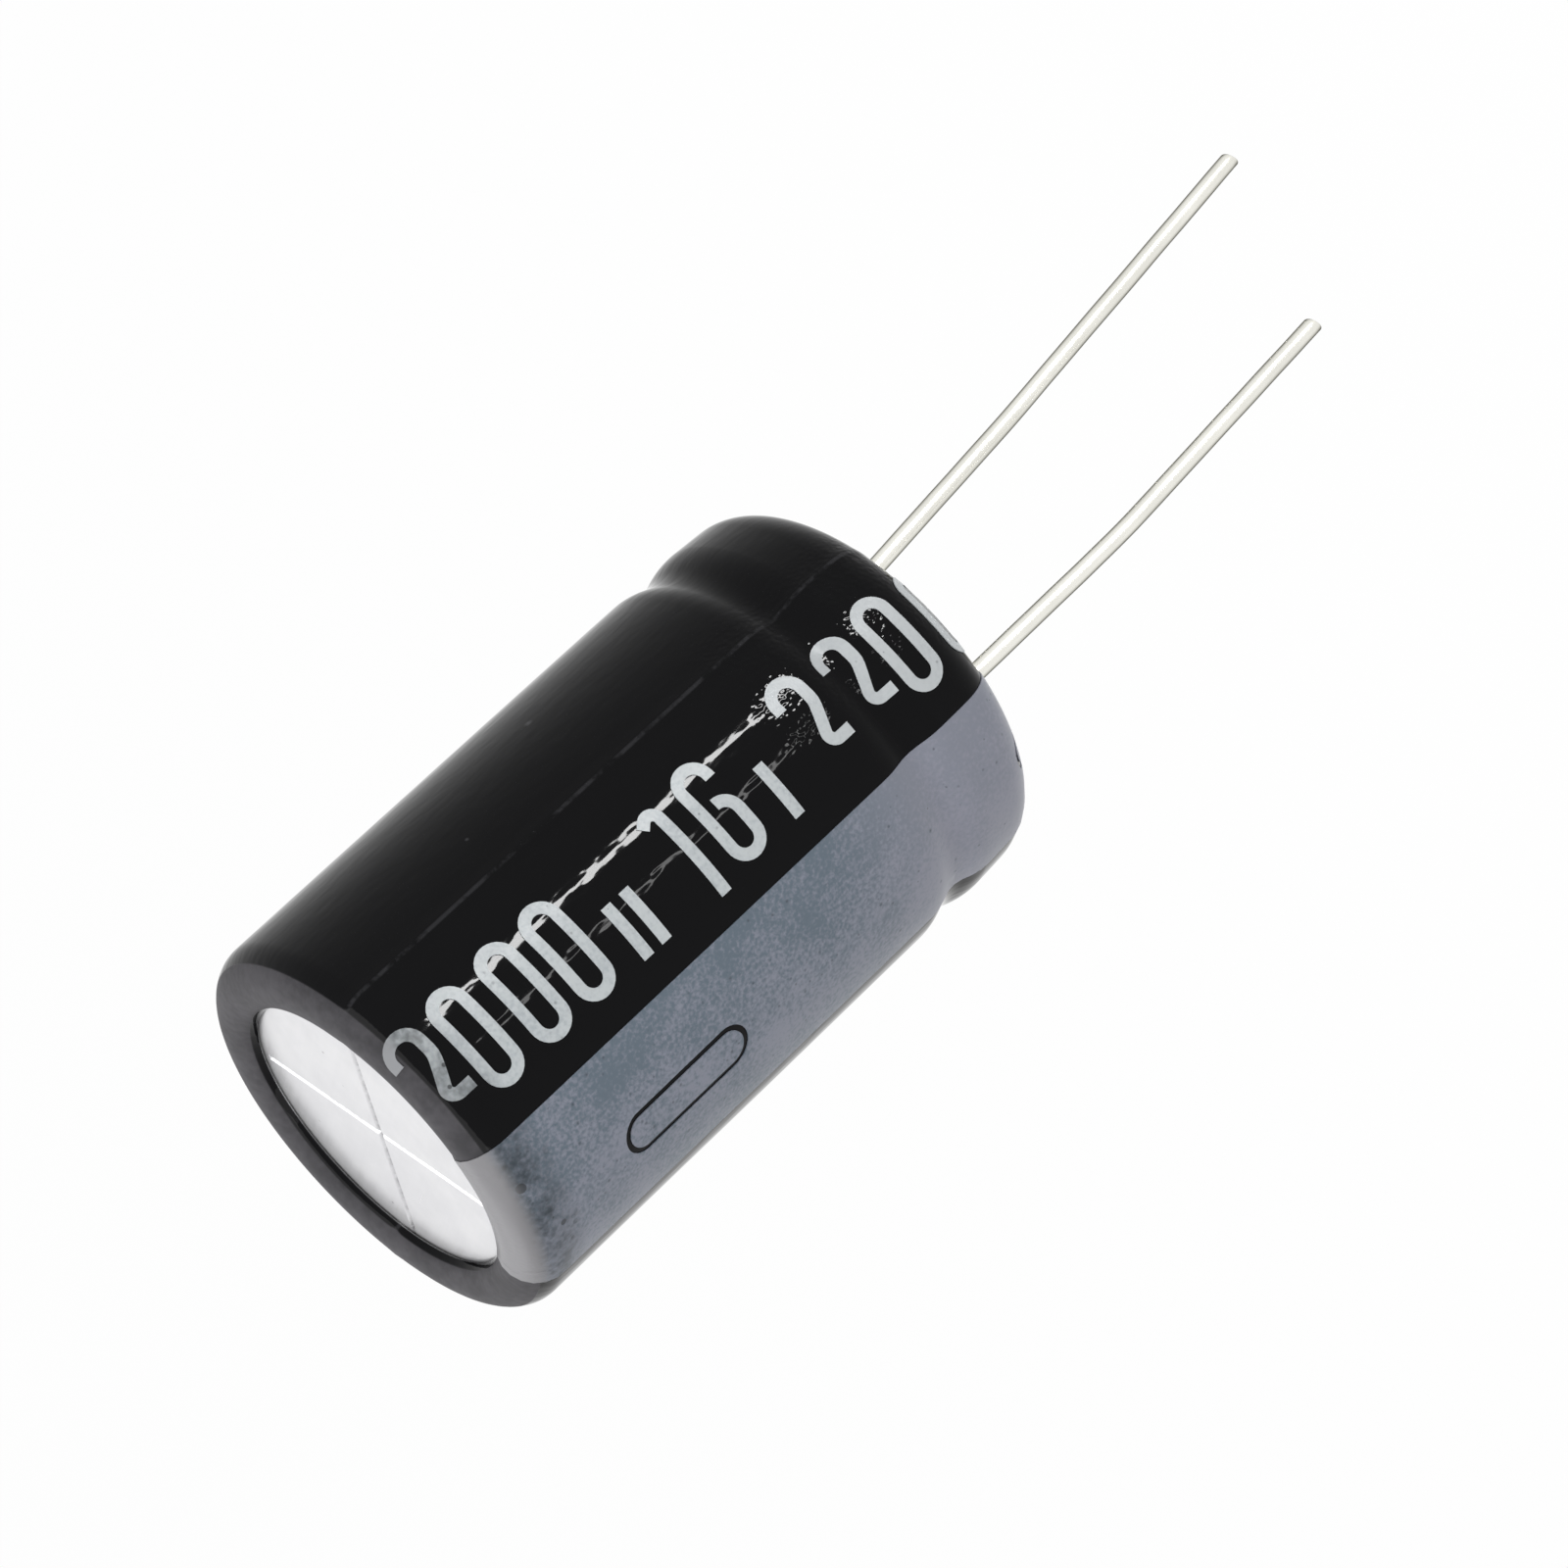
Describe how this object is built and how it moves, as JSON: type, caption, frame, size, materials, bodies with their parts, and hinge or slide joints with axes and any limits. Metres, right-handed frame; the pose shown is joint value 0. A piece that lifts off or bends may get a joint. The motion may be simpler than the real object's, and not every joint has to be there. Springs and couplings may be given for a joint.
{
  "type": "electrolytic capacitor",
  "caption": "Radial aluminium electrolytic capacitor: a sleeved round can with a scored vent end, a rolled bead, a negative stripe and unequal wire leads.",
  "frame": {"origin": "on the can's axis, in the plane where the body seats on a board", "axes": "+Z along the can's axis to the closed vent end; +X to the longer anode lead, -X to the cathode lead beside the stripe; the leads run down below Z = 0"},
  "size_m": [0.0185, 0.0184, 0.0607],
  "materials": {
    "film": "glossy shrunk film",
    "ink": "mottled grey ink under gloss",
    "can": "bright drawn sheet",
    "seal": "matt",
    "wire": "tinned",
    "tab": "satin",
    "roll": "soaked paper over foil",
    "tape": "matt"
  },
  "bodies": {
    "root": {"sleeve": "film", "stripe": "ink", "can": "can", "end_seal": "seal", "anode_lead": "wire", "cathode_lead": "wire", "anode_tab": "tab", "cathode_tab": "tab", "winding": "roll", "winding_tape": "tape"}
  },
  "joints": []
}
